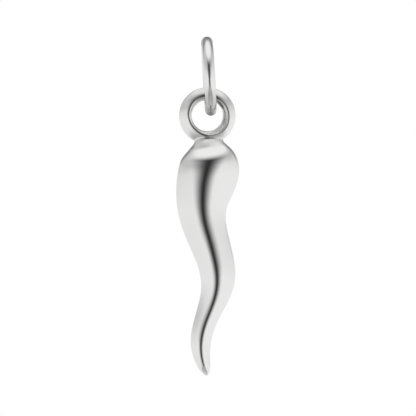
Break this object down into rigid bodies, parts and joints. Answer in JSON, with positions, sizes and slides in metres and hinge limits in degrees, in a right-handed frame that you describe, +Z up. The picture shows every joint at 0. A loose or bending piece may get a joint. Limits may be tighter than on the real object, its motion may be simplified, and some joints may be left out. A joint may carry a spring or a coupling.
{
  "type": "cornicello horn pendant",
  "caption": "Polished silver horn charm: a wavy solid horn with a round eye soldered to its domed top, hanging free on a jump ring.",
  "frame": {"origin": "where a chain lies, on the inner wall at the top of the jump ring", "axes": "+Z up along the hanging pendant, +X along the chain to the viewer's right, +Y away from the viewer towards the wearer"},
  "size_m": [0.0044, 0.0056, 0.0239],
  "materials": {
    "silver": "polished sterling silver"
  },
  "bodies": {
    "ring": {"jump_ring": "silver"},
    "pendant": {"horn": "silver"}
  },
  "joints": [
    {"name": "pendant_swing", "type": "hinge", "parent": "ring", "child": "pendant", "pos_m": [0.00025, 0, -0.00439], "axis": [0, 1, 0], "range_deg": [-135, 135]}
  ]
}
